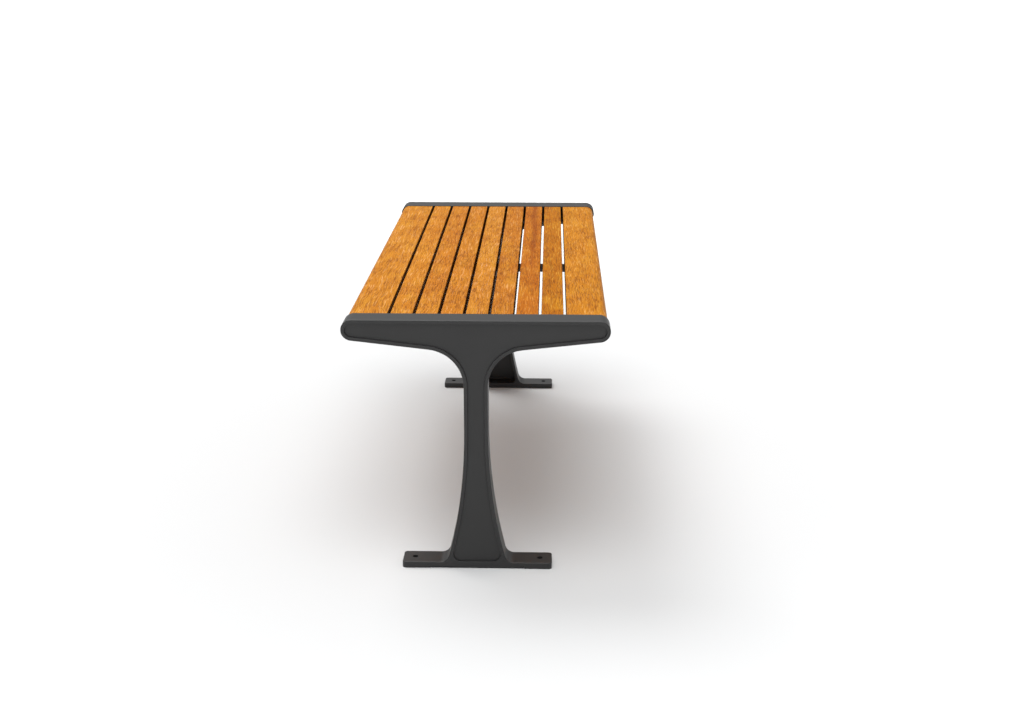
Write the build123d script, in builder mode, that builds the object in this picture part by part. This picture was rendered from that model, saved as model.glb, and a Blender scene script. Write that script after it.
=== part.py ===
"""Backless bench: two cast T-shaped legs carrying nine timber slats.

Millimetres, +Z up, X along the seat. The origin is on the floor under the middle of the seat.
Each leg is hollow on its inner side. A folded bracket is bolted into that pocket and carries the
slat ends, and a flat bar ties the slats together at mid-length. Every slat is screwed from below.
"""

import os
from math import asin, cos, degrees, radians, sin, tan

from build123d import *

os.makedirs("parts", exist_ok=True)

SIDES = {"left": -1, "right": 1}

# Overall sizes
bench_length = 1066
bench_width = 452
seat_height = 450

# Leg casting: outline seen from the end of the bench
nose_cover = 3.25
wing_slope = 6.4
wing_fillet = 66
stem_width = 41
flare_top = 253
flare_radius = 950
root_fillet = 16.5
foot_width = 262
foot_thickness = 9
foot_corner = 6
pad_height = 2.5
pad_length = 48

# Leg casting: depth along the bench, outer panel and inner pocket
casting_depth = 46
edge_radius = 1.5
panel_rim = 6
panel_depth = 3.5
panel_draft = 8
panel_edge_round = 0.3
panel_floor_gap = 1.2
panel_corner = 14
pocket_wall = 6
web_thickness = 6
pocket_corner = 10
pocket_floor_round = 3
pocket_mouth_round = 1

# Floor anchors
anchor_diameter = 10
anchor_margin = 21

# Timber slats
narrow_slats = 7
edge_slat_width = 70
slat_gap = 5
slat_thickness = 30
slat_ease = 1.5
slat_end_ease = 0.8
slat_drop = 1.5
slat_inset = 3.5
slat_end_gap = 1

# Slat brackets, folded from plate
bracket_plate = 4
bracket_reach = 30
bracket_setback = 10
bracket_headroom = 3
bend_radius = 2
ear_corner = 6
pocket_gap = 1

# Mid support bar
bar_width = 50
bar_thickness = 5
bar_corner = 4

# Supports reach this far short of the round nose of the edge slats
support_margin = 0.5

# Bracket bolts, M8
bolt_diameter = 8
bolt_length = 20
bolt_head_flats = 13
bolt_head_height = 5.3
bolt_hole = 9
washer_diameter = 16
washer_bore = 8.4
washer_thickness = 1.6
bolt_count = 4
bolt_margin = 30
boss_diameter = 18
thread_gap = 0.1
thread_run_out = 2
bolt_head_taper = 60
bolt_chamfer = 1

# Slat screws, 5 mm pan head
screw_diameter = 5
screw_length = 25
screw_tip = 5
screw_head_diameter = 9.5
screw_head_height = 3
screw_head_round = 1.5
screw_socket_flats = 3
screw_socket_depth = 1.6
screw_hole = 5.5
pilot_gap = 0.05
pilot_run_out = 1
screw_edge_inner = 15
screw_edge_outer = 25

# Slats across the width
slat_top = seat_height - slat_drop
slat_bottom = slat_top - slat_thickness
slat_middle = slat_top - slat_thickness / 2
edge_slat_outer = bench_width / 2 - slat_inset
edge_slat_inner = edge_slat_outer - edge_slat_width
edge_nose = edge_slat_outer - slat_thickness / 2
slat_pitch = (2 * edge_slat_inner - slat_gap) / narrow_slats
slat_width = slat_pitch - slat_gap
narrow_ys = [(i - (narrow_slats - 1) / 2) * slat_pitch for i in range(narrow_slats)]
edge_screw_ys = [edge_slat_inner + screw_edge_inner, edge_slat_outer - screw_edge_outer]
screw_ys = narrow_ys + [sign * y for y in edge_screw_ys for sign in (-1, 1)]
support_half = edge_nose - support_margin

# Places along the bench, measured out from the middle
leg_inner = bench_length / 2 - casting_depth
leg_middle = bench_length / 2 - casting_depth / 2
slat_length = 2 * (leg_inner - slat_end_gap)
bracket_screw_x = leg_inner - bracket_reach / 2
screw_columns = (-bracket_screw_x, 0, bracket_screw_x)
bolt_face = leg_inner + bracket_setback
boss_face = bolt_face + bracket_plate
pocket_floor = bench_length / 2 - panel_depth - web_thickness
boss_height = pocket_floor - boss_face
bolt_reach = bolt_length - washer_thickness - bracket_plate

# Leg outline: the nose wraps the edge slats, and the wing's underside slopes down to the stem
foot_top = pad_height + foot_thickness
slope = radians(wing_slope)
nose_radius = slat_thickness / 2 + nose_cover
nose_y = bench_width / 2 - nose_radius
nose_z = seat_height - nose_radius
anchor_spacing = foot_width - 2 * anchor_margin

# Bracket: as wide as the pocket's sloping lower wall allows, its bolts halfway up the flange
bracket_bottom = slat_bottom - bracket_plate
bracket_top = seat_height - pocket_wall - bracket_headroom
pocket_low_z = nose_z - (nose_radius - pocket_wall) / cos(slope)
bracket_half = nose_y - (pocket_low_z - bracket_bottom + pocket_gap) / tan(slope)
bolt_height = (slat_bottom + bend_radius + bracket_top) / 2
bolt_spacing = 2 * (bracket_half - bolt_margin) / (bolt_count - 1)
bolt_ys = [(i - (bolt_count - 1) / 2) * bolt_spacing for i in range(bolt_count)]
pilot_depth = screw_length - min(bracket_plate, bar_thickness) + pilot_run_out


def finish(piece, name):
    """Labels a finished piece and writes its STEP file."""
    piece.label = name
    export_step(piece, f"parts/{name}.step")


def upright(inset, bottom, corner=0):
    """T-shaped outline above the foot, moved inward by inset, closed flat at height bottom."""
    stem_y = stem_width / 2 - inset
    flare_turn = degrees(asin((flare_top - bottom) / (flare_radius + inset)))
    with BuildSketch() as outline:
        with BuildLine():
            top = Line((0, seat_height - inset), (nose_y, seat_height - inset))
            nose = CenterArc((nose_y, nose_z), nose_radius - inset, 90, wing_slope - 180)
            armpit = (stem_y, (nose @ 1).Y - tan(slope) * ((nose @ 1).X - stem_y))
            Polyline(nose @ 1, armpit, (stem_y, flare_top))
            flare = CenterArc(
                (stem_width / 2 + flare_radius, flare_top), flare_radius + inset, 180, flare_turn
            )
            Polyline(flare @ 1, (0, bottom), top @ 0)
        make_face()
        fillet(outline.vertices().sort_by_distance(armpit)[0], wing_fillet + inset)
        if corner:
            fillet(outline.vertices().sort_by_distance(flare @ 1)[0], corner)
        mirror(about=Plane.YZ)
    return outline.sketch


def face_on(piece, plane):
    """The largest flat face of a piece in the plane."""
    flat = piece.faces().filter_by(GeomType.PLANE)
    return flat.filter_by(lambda f: plane.contains(f.center())).sort_by(SortBy.AREA)[-1]


def inner_edges(piece, plane):
    """Edges of the opening in that face."""
    return face_on(piece, plane).inner_wires()[0].edges()


def outer_edges(piece, plane):
    """Edges round that face."""
    return face_on(piece, plane).outer_wire().edges()


def leg_casting(side):
    """One cast leg: outline, foot pads, outer panel, inner pocket, bolt bosses, anchor holes."""
    outer = Plane((side * bench_length / 2, 0, 0), x_dir=(0, -side, 0), z_dir=(-side, 0, 0))
    pocket_bed = outer.offset(panel_depth + web_thickness)
    with BuildPart() as leg:
        with BuildSketch(outer) as outline:
            add(upright(0, foot_top))
            with Locations((0, pad_height + foot_thickness / 2)):
                Rectangle(foot_width, foot_thickness)
            roots = outline.vertices().group_by(Axis.Y)[1].sort_by(Axis.X)[1:3]
            fillet(roots, root_fillet)
            for sign in (-1, 1):
                with Locations((sign * (foot_width - pad_length) / 2, pad_height / 2)):
                    Rectangle(pad_length, pad_height)
        extrude(amount=casting_depth)
        foot_end = foot_width / 2 - foot_corner
        upright_edges = leg.edges().filter_by(Axis.Z)
        fillet(upright_edges.filter_by(lambda e: abs(e.center().Y) > foot_end), foot_corner)
        rim = outer_edges(leg, outer)
        fillet(rim.filter_by(lambda e: e.center().Z > foot_top - edge_radius), edge_radius)
        with BuildSketch(outer):
            add(upright(panel_rim, foot_top + panel_floor_gap, panel_corner))
        extrude(amount=panel_depth, taper=panel_draft, mode=Mode.SUBTRACT)
        fillet(inner_edges(leg, outer), panel_edge_round)
        with BuildSketch(pocket_bed):
            add(upright(pocket_wall, foot_top + panel_floor_gap, pocket_corner))
        extrude(amount=casting_depth, mode=Mode.SUBTRACT)
        fillet(inner_edges(leg, outer.offset(casting_depth)), pocket_mouth_round)
        fillet(outer_edges(leg, pocket_bed), pocket_floor_round)
        with BuildSketch(pocket_bed):
            with Locations([(y, bolt_height) for y in bolt_ys]):
                Circle(boss_diameter / 2)
        extrude(amount=boss_height)
        with BuildSketch(pocket_bed.offset(boss_height)):
            with Locations([(y, bolt_height) for y in bolt_ys]):
                Circle(bolt_diameter / 2 + thread_gap)
        extrude(amount=-bolt_reach - thread_run_out, mode=Mode.SUBTRACT)
        with BuildSketch(Plane.XY):
            with Locations((side * leg_middle, 0)):
                with GridLocations(0, anchor_spacing, 1, 2):
                    Circle(anchor_diameter / 2)
        extrude(amount=foot_top, mode=Mode.SUBTRACT)
    return leg.part


def narrow_section(y):
    """Section of a narrow slat centred on y."""
    with BuildSketch() as section:
        with Locations((y, slat_middle)):
            RectangleRounded(slat_width, slat_thickness, slat_ease)
    return section.sketch


def edge_section(sign):
    """Section of an edge slat, whose outer edge is a full round."""
    flat_width = edge_nose - edge_slat_inner
    with BuildSketch() as section:
        with Locations((sign * (edge_slat_inner + flat_width / 2), slat_middle)):
            Rectangle(flat_width, slat_thickness)
        fillet(section.vertices().sort_by_distance((0, slat_middle))[:2], slat_ease)
        with Locations((sign * edge_nose, slat_middle)):
            Circle(slat_thickness / 2)
    return section.sketch


def slat(section, screw_rows):
    """One slat of the given section, with pilot holes from below at each support."""
    with BuildPart() as timber:
        with BuildSketch(Plane.YZ):
            add(section)
        extrude(amount=slat_length / 2, both=True)
        ends = timber.faces().sort_by(Axis.X)
        chamfer(ends[0].edges() + ends[-1].edges(), slat_end_ease)
        with BuildSketch(Plane.XY.offset(slat_bottom)):
            with Locations([(x, y) for x in screw_columns for y in screw_rows]):
                Circle(screw_diameter / 2 + pilot_gap)
        extrude(amount=pilot_depth, mode=Mode.SUBTRACT)
    return timber.part


def slat_bracket(side):
    """Folded plate: a flange under the slat ends and a flange bolted inside the leg pocket."""
    flange_tip = side * (leg_inner - bracket_reach)
    ear_root = side * (leg_inner - pocket_gap)
    with BuildPart() as bracket:
        with BuildSketch(Plane.XZ) as fold:
            with BuildLine():
                Polyline(
                    (flange_tip, bracket_bottom),
                    (side * boss_face, bracket_bottom),
                    (side * boss_face, bracket_top),
                    (side * bolt_face, bracket_top),
                    (side * bolt_face, slat_bottom),
                    (flange_tip, slat_bottom),
                    close=True,
                )
            make_face()
            heel = fold.vertices().sort_by_distance((side * boss_face, bracket_bottom))
            throat = fold.vertices().sort_by_distance((side * bolt_face, slat_bottom))
            fillet(heel[0], bend_radius + bracket_plate)
            fillet(throat[0], bend_radius)
        extrude(amount=bracket_half, both=True)
        with BuildSketch(Plane.XY.offset(bracket_bottom)) as ears:
            with Locations(((flange_tip + ear_root) / 2, 0)):
                Rectangle(bracket_reach - pocket_gap, 2 * support_half)
            fillet(ears.vertices(), ear_corner)
        extrude(amount=bracket_plate)
        with BuildSketch(Plane.XY.offset(bracket_bottom)):
            with Locations([(side * bracket_screw_x, y) for y in screw_ys]):
                Circle(screw_hole / 2)
        extrude(amount=bracket_plate, mode=Mode.SUBTRACT)
        with BuildSketch(Plane.YZ.offset(side * bolt_face)):
            with Locations([(y, bolt_height) for y in bolt_ys]):
                Circle(bolt_hole / 2)
        extrude(amount=side * bracket_plate, mode=Mode.SUBTRACT)
    return bracket.part


def support_bar():
    """Flat bar under the middle of the slats."""
    with BuildPart() as bar:
        with BuildSketch(Plane.XY.offset(slat_bottom)) as plan:
            Rectangle(bar_width, 2 * support_half)
            fillet(plan.vertices(), bar_corner)
            with Locations([(0, y) for y in screw_ys]):
                Circle(screw_hole / 2, mode=Mode.SUBTRACT)
        extrude(amount=-bar_thickness)
    return bar.part


def hex_bolt():
    """M8 bolt along +Z, its head below z = 0."""
    with BuildPart() as bolt:
        with BuildSketch(Plane.XY.offset(-bolt_head_height)):
            RegularPolygon(bolt_head_flats / 2, side_count=6, major_radius=False)
        extrude(amount=bolt_head_height)
        with BuildSketch(Plane.XY.offset(-bolt_head_height)):
            Circle(bolt_head_flats / 2)
        extrude(amount=bolt_head_height, taper=-bolt_head_taper, mode=Mode.INTERSECT)
        with BuildSketch():
            Circle(bolt_diameter / 2)
        extrude(amount=bolt_length)
        chamfer(bolt.faces().sort_by(Axis.Z)[-1].edges(), bolt_chamfer)
    return bolt.part


def wood_screw():
    """Pan-head screw along +Z with a hexagon socket, its head below z = 0."""
    shank = screw_diameter / 2
    head = screw_head_diameter / 2
    with BuildPart() as screw:
        with BuildSketch(Plane.XZ) as profile:
            with BuildLine():
                Polyline(
                    (0, -screw_head_height),
                    (head, -screw_head_height),
                    (head, 0),
                    (shank, 0),
                    (shank, screw_length - screw_tip),
                    (0, screw_length),
                    close=True,
                )
            make_face()
            rim = profile.vertices().sort_by_distance((head, -screw_head_height))[0]
            fillet(rim, screw_head_round)
        revolve(axis=Axis.Z)
        with BuildSketch(Plane.XY.offset(-screw_head_height)):
            RegularPolygon(screw_socket_flats / 2, side_count=6, major_radius=False)
        extrude(amount=screw_socket_depth, mode=Mode.SUBTRACT)
    return screw.part


def bolt_group(bolt, side):
    """Bolts of one bracket, heads towards the seat and shanks into the leg bosses."""
    head_seat = side * (bolt_face - washer_thickness)
    with BuildPart() as bolts:
        with Locations([Location((head_seat, y, bolt_height), (0, side * 90, 0)) for y in bolt_ys]):
            add(bolt)
    return bolts.part


def washer_group(side):
    """Washers between the bolt heads and the bracket."""
    with BuildPart() as washers:
        with BuildSketch(Plane.YZ.offset(side * bolt_face)):
            with Locations([(y, bolt_height) for y in bolt_ys]):
                Circle(washer_diameter / 2)
                Circle(washer_bore / 2, mode=Mode.SUBTRACT)
        extrude(amount=-side * washer_thickness)
    return washers.part


def screw_group(screw, x, support_bottom):
    """Screws of one support, heads against its underside."""
    with BuildPart() as screws:
        with Locations([(x, y, support_bottom) for y in screw_ys]):
            add(screw)
    return screws.part


for end, side in SIDES.items():
    finish(leg_casting(side), f"leg_casting_{end}")
    finish(slat_bracket(side), f"slat_bracket_{end}")
    finish(washer_group(side), f"bracket_washers_{end}")
    finish(bolt_group(hex_bolt(), side), f"bracket_bolts_{end}")
    finish(screw_group(wood_screw(), side * bracket_screw_x, bracket_bottom), f"slat_screws_{end}")

finish(support_bar(), "mid_support_bar")
finish(screw_group(wood_screw(), 0, slat_bottom - bar_thickness), "slat_screws_middle")

slats = [(narrow_section(y), [y]) for y in narrow_ys]
slats.insert(0, (edge_section(-1), [-y for y in edge_screw_ys]))
slats.append((edge_section(1), edge_screw_ys))
for number, (section, screw_rows) in enumerate(slats, 1):
    finish(slat(section, screw_rows), f"slat_{number}")
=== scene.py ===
"""Backless bench: materials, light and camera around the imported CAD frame. Metres, +Z up."""

import math
import random

import bpy
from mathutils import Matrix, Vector


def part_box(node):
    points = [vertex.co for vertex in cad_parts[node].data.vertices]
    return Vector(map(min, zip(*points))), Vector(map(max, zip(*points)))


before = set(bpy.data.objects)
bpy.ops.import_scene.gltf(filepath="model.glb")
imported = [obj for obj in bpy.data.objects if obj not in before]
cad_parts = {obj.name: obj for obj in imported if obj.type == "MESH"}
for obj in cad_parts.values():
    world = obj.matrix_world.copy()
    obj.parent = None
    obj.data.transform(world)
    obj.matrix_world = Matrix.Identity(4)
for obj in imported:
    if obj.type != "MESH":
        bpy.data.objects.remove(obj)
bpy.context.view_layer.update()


# Camera: 50 mm lens on a 36 mm sensor, beyond the +X end of the bench
CAMERA_PLACE = Vector((2.8108, 0.1230, 1.0764))
CAMERA_PITCH = math.radians(16.916)
CAMERA_YAW = math.radians(1.552)
CAMERA_LENS = 50.0
CAMERA_SENSOR = 36.0

# Light: soft key from behind on the left, and a graded dome that the camera sees as plain white
KEY_DIRECTION = Vector((0.251, 0.191, -0.450))
KEY_STRENGTH = 1.4
KEY_ANGLE = math.radians(28)
DOME_LOW = 0.22
DOME_HIGH = 0.85
DOME_HEIGHTS = (0.05, 0.85)
DOME_FRONT = (-0.25, 0.65)
DOME_FRONT_CUT = 0.8
OVERHEAD_DIRECTION = (0.35, 0.0, 0.937)
OVERHEAD_SPREAD = (0.84, 0.97)
OVERHEAD_STRENGTH = 4.0
# Painted shade on the floor: darker and slightly cool near the bench for the shadow around it and
# against the warm bounce off the timber, plain tone past the fade
FLOOR_NEAR_SHADE_TONE = (0.590, 0.594, 0.597)
FLOOR_FAR_TONE = (0.85, 0.85, 0.85)
FLOOR_SHADE_FADE = (0.6, 4.0)
FLOOR_SIZE = 80.0

# Colours, linear
COAT_COLOUR = (0.0165, 0.0162, 0.0162)
STEEL_COLOUR = (0.46, 0.455, 0.44)
GOLDEN = (0.57, 0.203, 0.014)
RUSSET = (0.47, 0.138, 0.012)
UMBER = (0.32, 0.072, 0.005)
HONEY = (0.62, 0.262, 0.022)
PORE = (0.12, 0.022, 0.002)
# Pale flecks: partly the wood's own pale fleck and partly a painted highlight standing for glints on
# the grain
PALE_FLECK_GLINT = (0.86, 0.43, 0.17)
HEARTWOOD = (0.24, 0.050, 0.006)
# Painted shade in the gaps between slats: side faces are darkened towards this colour by this strength,
# less on the seat's two outer noses
GAP_SHADE_COLOUR = (0.08, 0.022, 0.003)
GAP_SHADE_STRENGTH = 0.85
NOSE_BAND = (0.19, 0.205)
NOSE_SHADE_CUT = 0.55
# Finishes: noise scales per metre, roughness from least to most, and relief in metres
COAT_PEEL = 700.0
COAT_CLOUD = 9.0
COAT_GRIT = 2600.0
COAT_SHADES = (0.92, 1.1)
SPECK_SHADE = 2.2
SPECKS = (0.66, 0.78, 0.35)
COAT_ROUGHNESS = (0.42, 0.52)
COAT_GLOSS = 0.5
COAT_RELIEF = 0.00003
STEEL_CLOUD = 120.0
STEEL_LINES = (400.0, 400.0, 3000.0)
STEEL_TARNISH = 0.62
STEEL_ROUGHNESS = (0.26, 0.42)
STEEL_RELIEF = 0.00001
CLOUD_LEVELS = (0.3, 0.7)
TIMBER_ROUGHNESS = (0.42, 0.58)

# Timber noise: scale along the grain and twice across it, per metre
SWAY_SCALE = (9.0, 16.0, 16.0)
PATCH_SCALE = (14.0, 30.0, 30.0)
CLOUD_SCALE = (9.0, 22.0, 22.0)
FIGURE_SCALE = (6.0, 130.0, 130.0)
FINE_SCALE = (18.0, 420.0, 420.0)
PORE_SCALE = (30.0, 560.0, 560.0)
SPECK_SCALE = (60.0, 900.0, 900.0)
PALE_FLECK_GLINT_SCALE = (26.0, 500.0, 500.0)
SWAY_REACH = 0.012
CLOUD_SHIFT = (4.1, 0.7, 2.9)
PALE_FLECK_GLINT_SHIFT = (1.7, 2.3, 0.9)

# Timber layers: the noise levels where each starts and is full, and how strongly it shows
HONEY_CLOUDS = (0.45, 0.65, 0.4)
FIGURE_BANDS = (0.40, 0.66, 0.5)
DARK_PATCHES = (0.47, 0.68, 0.48)
FINE_LINES = (0.46, 0.68, 0.5)
PORE_STRENGTH = 0.42
RELIEF = 0.00012

# Heartwood streak: place across its slat, width, wander and strength
HEART_PLACE = 0.62
HEART_OFFSET = 0.018
HEART_WIDTH = (0.001, 0.010)
HEART_DRIFT = 0.03
HEART_RIPPLE = 0.006
HEART_STRENGTH = 0.6

# Each slat's warmth and tint, from slat_1 at -Y to slat_9 at +Y
SLAT_TONES = {
    1: (0.15, (0.91, 1.01, 1.10)),
    2: (0.25, (0.92, 1.00, 1.00)),
    3: (0.25, (0.87, 0.90, 0.90)),
    4: (0.20, (0.86, 0.90, 0.90)),
    5: (0.05, (0.89, 0.97, 1.15)),
    6: (0.55, (0.86, 0.91, 0.86)),
    7: (0.80, (0.84, 0.82, 0.52)),
    8: (0.60, (0.77, 0.80, 0.32)),
    9: (0.10, (0.86, 0.93, 0.78)),
}
HEART_SLAT = 7
HEART_FADE = (-0.1, 0.3)
TIMBER_GLOSS = 0.03


class Nodes:
    """Short calls for building a node tree."""

    def __init__(self, tree):
        self.tree = tree

    def add(self, kind, inputs=None, **settings):
        node = self.tree.nodes.new(kind)
        for name, value in settings.items():
            setattr(node, name, value)
        for name, value in (inputs or {}).items():
            self.set(node.inputs[name], value)
        return node

    def set(self, socket, value):
        if isinstance(value, bpy.types.NodeSocket):
            self.tree.links.new(value, socket)
        else:
            socket.default_value = value

    def math(self, operation, a, b=0.0):
        return self.add("ShaderNodeMath", {0: a, 1: b}, operation=operation).outputs[0]

    def ramp(self, value, low, high):
        """0 below low, 1 above high, smooth between."""
        node = self.add(
            "ShaderNodeMapRange",
            {"Value": value, "From Min": low, "From Max": high},
            interpolation_type="SMOOTHSTEP",
        )
        return node.outputs["Result"]

    def layer(self, value, low, high, strength):
        """A ramp times how strongly it shows."""
        return self.math("MULTIPLY", self.ramp(value, low, high), strength)

    def spread(self, value, levels, result):
        """levels mapped straight onto result."""
        limits = {
            "Value": value,
            "From Min": levels[0],
            "From Max": levels[1],
            "To Min": result[0],
            "To Max": result[1],
        }
        return self.add("ShaderNodeMapRange", limits).outputs["Result"]

    def mix(self, factor, a, b, blend="MIX"):
        node = self.add("ShaderNodeMix", data_type="RGBA", blend_type=blend)
        colours = [socket for socket in node.inputs if socket.type == "RGBA"]
        self.set(node.inputs[0], factor)
        for socket, value in zip(colours, (a, b)):
            self.set(socket, (*value, 1.0) if isinstance(value, tuple) else value)
        return [socket for socket in node.outputs if socket.type == "RGBA"][0]

    def noise(self, vector, scale, detail=2.0, roughness=0.5):
        settings = {"Vector": vector, "Scale": scale, "Detail": detail, "Roughness": roughness}
        return self.add("ShaderNodeTexNoise", settings).outputs["Fac"]

    def scaled(self, vector, factors):
        node = self.add("ShaderNodeVectorMath", {0: vector, 1: factors}, operation="MULTIPLY")
        return node.outputs[0]

    def moved(self, vector, offset):
        node = self.add("ShaderNodeVectorMath", {0: vector, 1: offset}, operation="ADD")
        return node.outputs[0]


def new_material(name):
    """An empty material with its Principled shader, ready for nodes."""
    material = bpy.data.materials.new(name)
    material.use_nodes = True
    shader = material.node_tree.nodes["Principled BSDF"]
    return material, Nodes(material.node_tree), shader


def bump(n, shader, height, distance):
    """Relief of the given depth in metres."""
    node = n.add("ShaderNodeBump", {"Height": height, "Distance": distance, "Strength": 1.0})
    n.set(shader.inputs["Normal"], node.outputs["Normal"])


def powder_coat(name, colour):
    """Satin powder coat: orange-peel skin, faint cloudiness and dust specks."""
    material, n, shader = new_material(name)
    place = n.add("ShaderNodeTexCoord").outputs["Object"]
    peel = n.noise(place, COAT_PEEL)
    cloud = n.noise(place, COAT_CLOUD, detail=3.0)
    grit = n.noise(place, COAT_GRIT, detail=1.0)
    dark, light = (tuple(shade * c for c in colour) for shade in COAT_SHADES)
    tone = n.mix(cloud, dark, light)
    tone = n.mix(n.layer(grit, *SPECKS), tone, tuple(SPECK_SHADE * c for c in colour))
    n.set(shader.inputs["Base Color"], tone)
    n.set(shader.inputs["Roughness"], n.spread(cloud, CLOUD_LEVELS, COAT_ROUGHNESS))
    shader.inputs["Specular IOR Level"].default_value = COAT_GLOSS
    bump(n, shader, n.math("ADD", peel, n.math("MULTIPLY", grit, 0.3)), COAT_RELIEF)
    return material


def stainless(name):
    """Stainless fastener steel with turned lines and slight tarnish."""
    material, n, shader = new_material(name)
    place = n.add("ShaderNodeTexCoord").outputs["Object"]
    cloud = n.noise(place, STEEL_CLOUD, detail=3.0)
    lines = n.noise(n.scaled(place, STEEL_LINES), 1.0, detail=1.0)
    tone = n.mix(n.ramp(cloud, 0.35, 0.7), STEEL_COLOUR, tuple(STEEL_TARNISH * c for c in STEEL_COLOUR))
    n.set(shader.inputs["Base Color"], tone)
    shader.inputs["Metallic"].default_value = 1.0
    n.set(shader.inputs["Roughness"], n.spread(cloud, CLOUD_LEVELS, STEEL_ROUGHNESS))
    bump(n, shader, lines, STEEL_RELIEF)
    return material


def heart_streak(n, place, moved, figure, body, heart):
    """A red heartwood streak along y = heart that fades out towards +X."""
    parts = n.add("ShaderNodeSeparateXYZ", {"Vector": place})
    drift = n.noise(n.scaled(moved, (3.0, 1.0, 1.0)), 1.0)
    drift = n.math("MULTIPLY", drift, HEART_DRIFT)
    wander = n.math("ADD", drift, n.math("MULTIPLY", figure, HEART_RIPPLE))
    away = n.math("SUBTRACT", n.math("ADD", parts.outputs["Y"], wander), heart + HEART_OFFSET)
    streak = n.math("SUBTRACT", 1.0, n.ramp(n.math("ABSOLUTE", away), *HEART_WIDTH))
    fade = n.math("SUBTRACT", 1.0, n.ramp(parts.outputs["X"], *HEART_FADE))
    return n.mix(n.math("MULTIPLY", streak, n.math("MULTIPLY", fade, HEART_STRENGTH)), body, HEARTWOOD)


def painted_gap_shade(n, place, body):
    """Painted shade: the side faces in the gaps are darkened to stand for the shade there, and the
    seat's two outer noses less so.
    """
    facing = n.add("ShaderNodeNewGeometry").outputs["Normal"]
    level = n.add("ShaderNodeSeparateXYZ", {"Vector": facing}).outputs["Z"]
    gap_shade = n.math("SUBTRACT", 1.0, n.ramp(n.math("ABSOLUTE", level), 0.1, 0.9))
    across = n.math("ABSOLUTE", n.add("ShaderNodeSeparateXYZ", {"Vector": place}).outputs["Y"])
    nose_shade_cut = n.layer(across, *NOSE_BAND, NOSE_SHADE_CUT)
    gap_shade = n.math("MULTIPLY", gap_shade, n.math("SUBTRACT", GAP_SHADE_STRENGTH, nose_shade_cut))
    return n.mix(gap_shade, body, GAP_SHADE_COLOUR)


def timber(name, seed, warmth, tint, heart=None):
    """Oiled hardwood, grain along X: ribbon figure, short dark pores, pale flecks that are partly
    painted highlight, and painted shade on the sides in the gaps.

    warmth runs from golden at 0 to russet at 1, and tint multiplies the finished colour.
    heart is the y of a red heartwood streak.
    """
    draw = random.Random(seed)
    material, n, shader = new_material(name)
    place = n.add("ShaderNodeTexCoord").outputs["Object"]
    moved = n.moved(place, tuple(draw.uniform(3, 9) for axis in "xyz"))

    sway = n.noise(n.scaled(moved, SWAY_SCALE), 1.0)
    sway = n.math("MULTIPLY", n.math("SUBTRACT", sway, 0.5), SWAY_REACH)
    grain = n.moved(moved, n.add("ShaderNodeCombineXYZ", {"Y": sway}).outputs["Vector"])

    patch = n.noise(n.scaled(moved, PATCH_SCALE), 1.0)
    cloud = n.noise(n.scaled(n.moved(moved, CLOUD_SHIFT), CLOUD_SCALE), 1.0)
    figure = n.noise(n.scaled(grain, FIGURE_SCALE), 1.0, detail=3.0, roughness=0.6)
    fine = n.noise(n.scaled(grain, FINE_SCALE), 1.0, roughness=0.65)
    pore = n.noise(n.scaled(grain, PORE_SCALE), 1.0, detail=1.0)
    speck = n.noise(n.scaled(grain, SPECK_SCALE), 1.0)
    pale = n.noise(n.scaled(n.moved(grain, PALE_FLECK_GLINT_SHIFT), PALE_FLECK_GLINT_SCALE), 1.0, detail=1.0)

    tone = n.mix(warmth, GOLDEN, RUSSET)
    deep = n.mix(0.5, tone, UMBER)
    body = n.mix(n.layer(cloud, *HONEY_CLOUDS), tone, HONEY)
    body = n.mix(n.layer(figure, *FIGURE_BANDS), body, deep)
    body = n.mix(n.layer(patch, *DARK_PATCHES), body, deep)
    body = n.mix(n.layer(fine, *FINE_LINES), body, deep)

    ribbon = n.ramp(patch, 0.30, 0.62)
    fleck = n.math("MAXIMUM", n.ramp(pore, 0.52, 0.62), n.ramp(speck, 0.56, 0.66))
    pore_depth = n.math("MULTIPLY", fleck, n.math("ADD", 0.5, n.math("MULTIPLY", ribbon, 0.8)))
    body = n.mix(n.math("MULTIPLY", pore_depth, PORE_STRENGTH), body, PORE)
    between_ribbons = n.math("SUBTRACT", 0.5, n.math("MULTIPLY", ribbon, 0.3))
    # Pale flecks, partly wood fleck and partly painted highlight for glints on the grain
    body = n.mix(n.math("MULTIPLY", n.ramp(pale, 0.55, 0.70), between_ribbons), body, PALE_FLECK_GLINT)
    if heart is not None:
        body = heart_streak(n, place, moved, figure, body, heart)
    # Painted shade on the slat sides in the gaps
    body = painted_gap_shade(n, place, body)
    n.set(shader.inputs["Base Color"], n.mix(1.0, body, tint, "MULTIPLY"))

    n.set(shader.inputs["Roughness"], n.spread(fine, (0.3, 0.75), TIMBER_ROUGHNESS))
    shader.inputs["Specular IOR Level"].default_value = TIMBER_GLOSS
    bump(n, shader, n.math("SUBTRACT", n.math("MULTIPLY", fine, 0.5), pore_depth), RELIEF)
    return material


def give(node, material):
    """Puts one material on every slot of a CAD node."""
    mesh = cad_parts[node].data
    mesh.materials.clear()
    mesh.materials.append(material)


def dress_nodes():
    """Every CAD node gets its finish."""
    coat = powder_coat("powder_coat", COAT_COLOUR)
    steel = stainless("stainless_steel")
    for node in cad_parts:
        if node.startswith(("leg_casting", "slat_bracket", "mid_support")):
            give(node, coat)
        elif not node.startswith("slat_") or node.startswith("slat_screws"):
            give(node, steel)
    for number, (warmth, tint) in SLAT_TONES.items():
        node = f"slat_{number}"
        low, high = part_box(node)
        heart = low[1] + HEART_PLACE * (high[1] - low[1]) if number == HEART_SLAT else None
        give(node, timber(f"timber_{number}", number, warmth, tint, heart))


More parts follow.
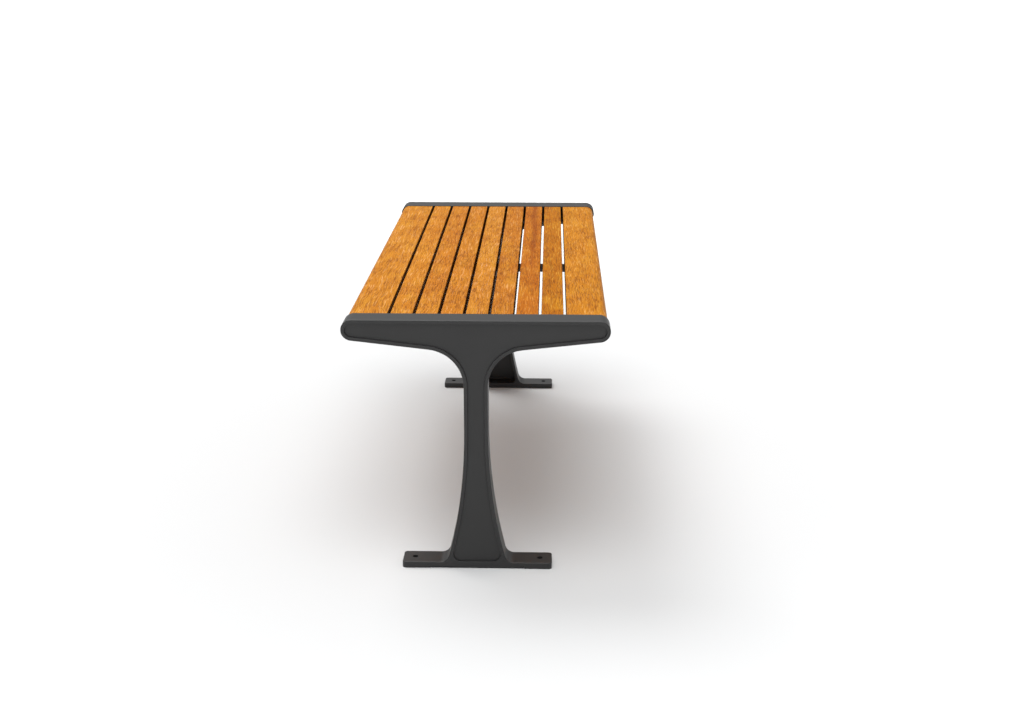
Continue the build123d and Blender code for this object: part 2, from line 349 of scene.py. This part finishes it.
def floor():
    """Pale floor with painted shade: darker and slightly cool near the bench, fading to its plain tone
    away from it.
    """
    material, n, shader = new_material("floor")
    place = n.add("ShaderNodeTexCoord").outputs["Object"]
    away = n.add("ShaderNodeVectorMath", {0: place}, operation="LENGTH").outputs["Value"]
    fade = n.ramp(away, *FLOOR_SHADE_FADE)
    n.set(shader.inputs["Base Color"], n.mix(fade, FLOOR_NEAR_SHADE_TONE, FLOOR_FAR_TONE))
    shader.inputs["Roughness"].default_value = 1.0
    shader.inputs["Specular IOR Level"].default_value = 0.0
    bpy.ops.mesh.primitive_plane_add(size=FLOOR_SIZE)
    plane = bpy.context.object
    plane.name = "floor"
    plane.data.materials.append(material)


def surround(n):
    """Studio dome: bright above and behind, dim in front and low down."""
    direction = n.add("ShaderNodeTexCoord").outputs["Generated"]
    parts = n.add("ShaderNodeSeparateXYZ", {"Vector": direction})
    height = n.ramp(parts.outputs["Z"], *DOME_HEIGHTS)
    front = n.layer(parts.outputs["X"], *DOME_FRONT, DOME_FRONT_CUT)
    glow = n.math("MULTIPLY", height, n.math("SUBTRACT", 1.0, front))
    aim = n.add("ShaderNodeVectorMath", {0: direction, 1: OVERHEAD_DIRECTION}, operation="DOT_PRODUCT")
    overhead = n.layer(aim.outputs["Value"], *OVERHEAD_SPREAD, OVERHEAD_STRENGTH)
    return n.math("ADD", n.math("ADD", DOME_LOW, overhead), n.math("MULTIPLY", glow, DOME_HIGH))


def light():
    """A studio dome that the camera sees as plain white, and one broad key."""
    scene = bpy.context.scene
    world = bpy.data.worlds.new("surround")
    world.use_nodes = True
    n = Nodes(world.node_tree)
    background = world.node_tree.nodes["Background"]
    seen = n.add("ShaderNodeLightPath").outputs["Is Camera Ray"]
    n.set(background.inputs["Strength"], n.math("MAXIMUM", seen, surround(n)))
    background.inputs["Color"].default_value = (1.0, 1.0, 1.0, 1.0)
    scene.world = world
    lamp = bpy.data.lights.new("key", "SUN")
    lamp.energy = KEY_STRENGTH
    lamp.angle = KEY_ANGLE
    key = bpy.data.objects.new("key", lamp)
    key.rotation_euler = KEY_DIRECTION.to_track_quat("-Z", "Y").to_euler()
    scene.collection.objects.link(key)
    scene.view_settings.view_transform = "Standard"


def camera():
    """The photograph's viewing angle."""
    data = bpy.data.cameras.new("camera")
    data.lens = CAMERA_LENS
    data.sensor_width = CAMERA_SENSOR
    eye = bpy.data.objects.new("camera", data)
    eye.location = CAMERA_PLACE
    eye.rotation_euler = (math.pi / 2 - CAMERA_PITCH, 0.0, math.pi / 2 + CAMERA_YAW)
    bpy.context.scene.collection.objects.link(eye)
    bpy.context.scene.camera = eye


dress_nodes()
floor()
light()
camera()
